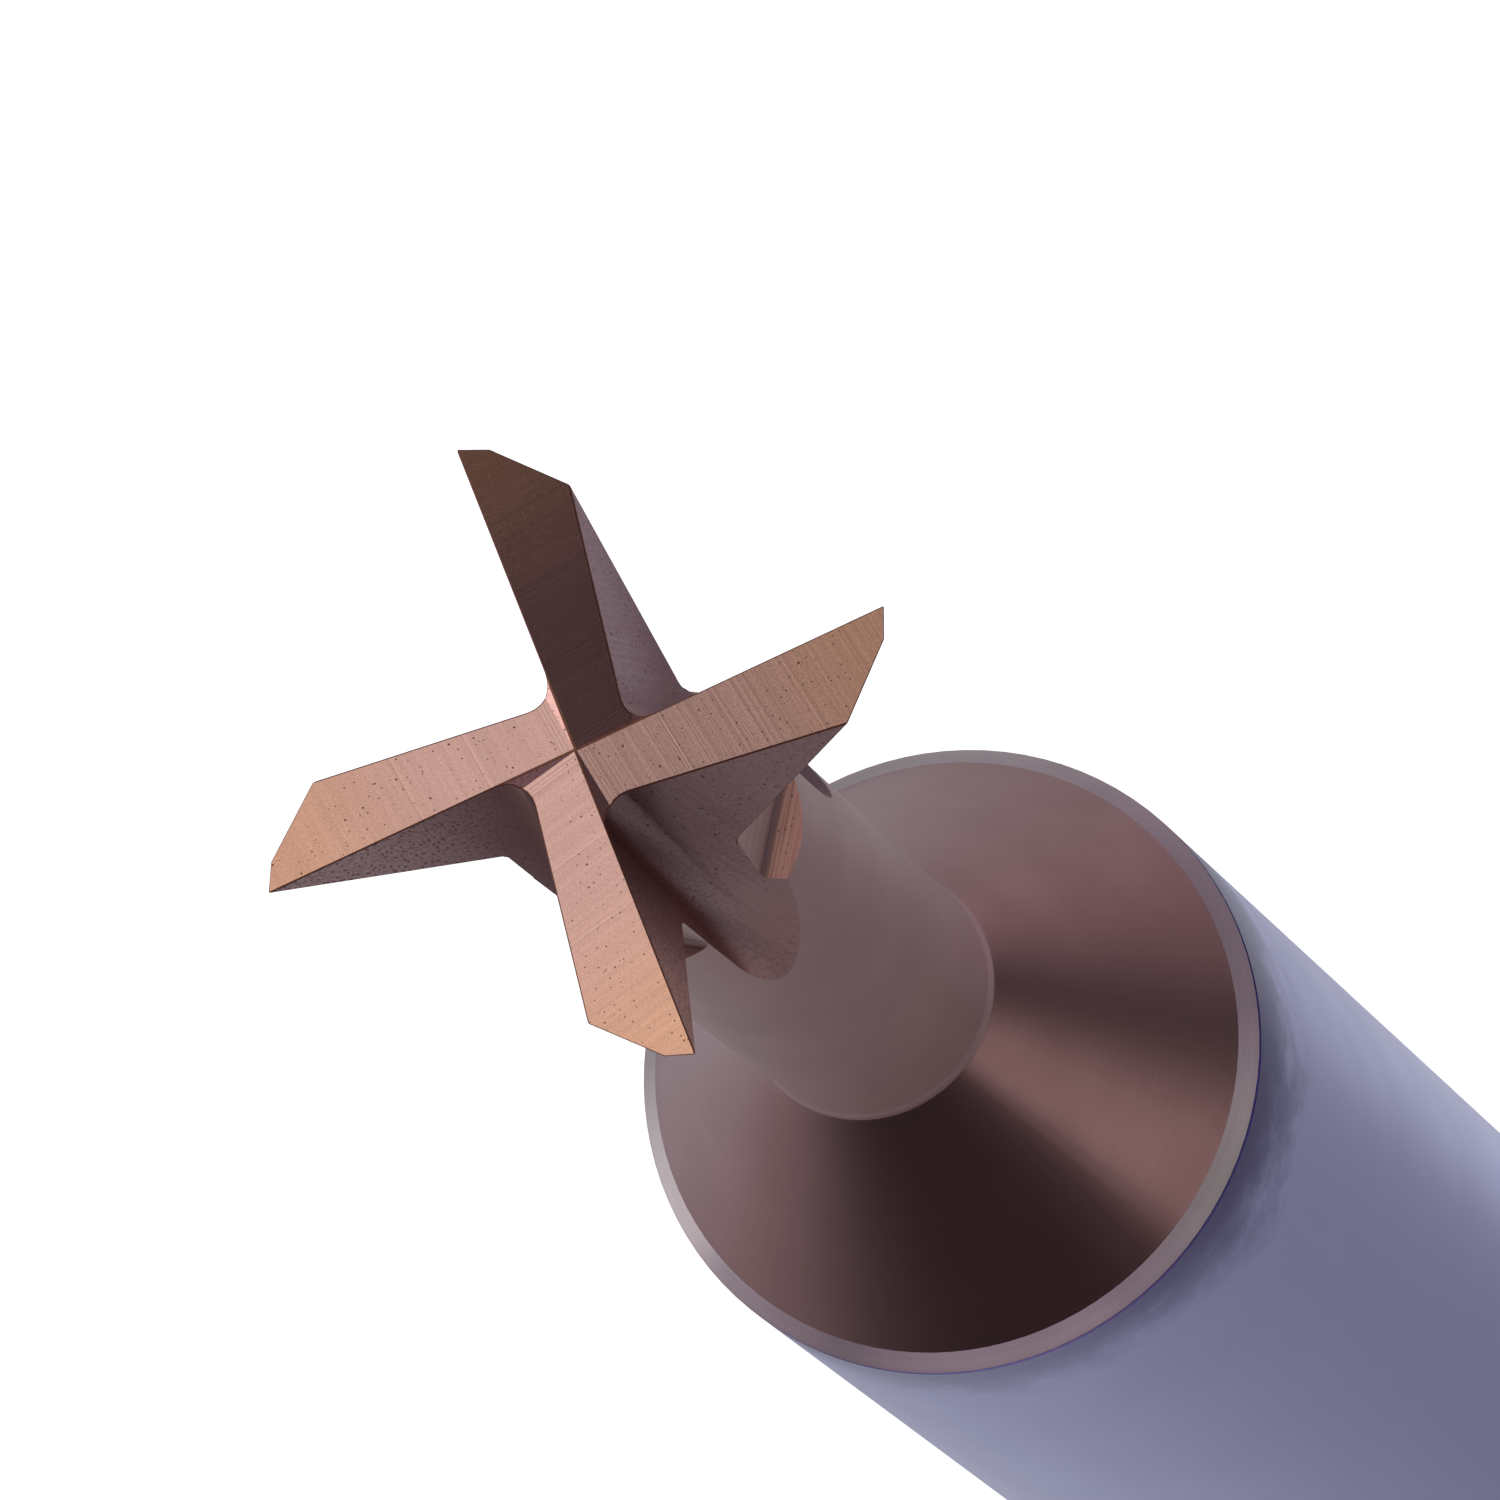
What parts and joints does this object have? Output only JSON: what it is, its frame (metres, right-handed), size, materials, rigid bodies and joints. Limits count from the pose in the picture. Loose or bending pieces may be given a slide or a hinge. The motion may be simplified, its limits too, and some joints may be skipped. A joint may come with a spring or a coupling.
{
  "type": "dovetail milling cutter",
  "caption": "Small right-hand dovetail milling cutter: bronze-coated four-tooth 45 degree head on a thin neck and conical shoulder, with a plain bright 6 mm shank.",
  "frame": {"origin": "centre of the shank's flat rear face", "axes": "+Z along the tool axis towards the cutting end; +X along the cutting edge of the first tooth"},
  "size_m": [0.006, 0.006, 0.05],
  "materials": {
    "bronze_coating": "ground carbide under a thin bronze-coloured hard coating, satin with fine grinding lines",
    "silver_braze": "pale filler metal, dull",
    "ground_steel": "bare, fine cylindrical grinding, slightly blue"
  },
  "bodies": {
    "root": {"cutter_body": "bronze_coating", "braze_layer": "silver_braze", "shank": "ground_steel"}
  },
  "joints": []
}
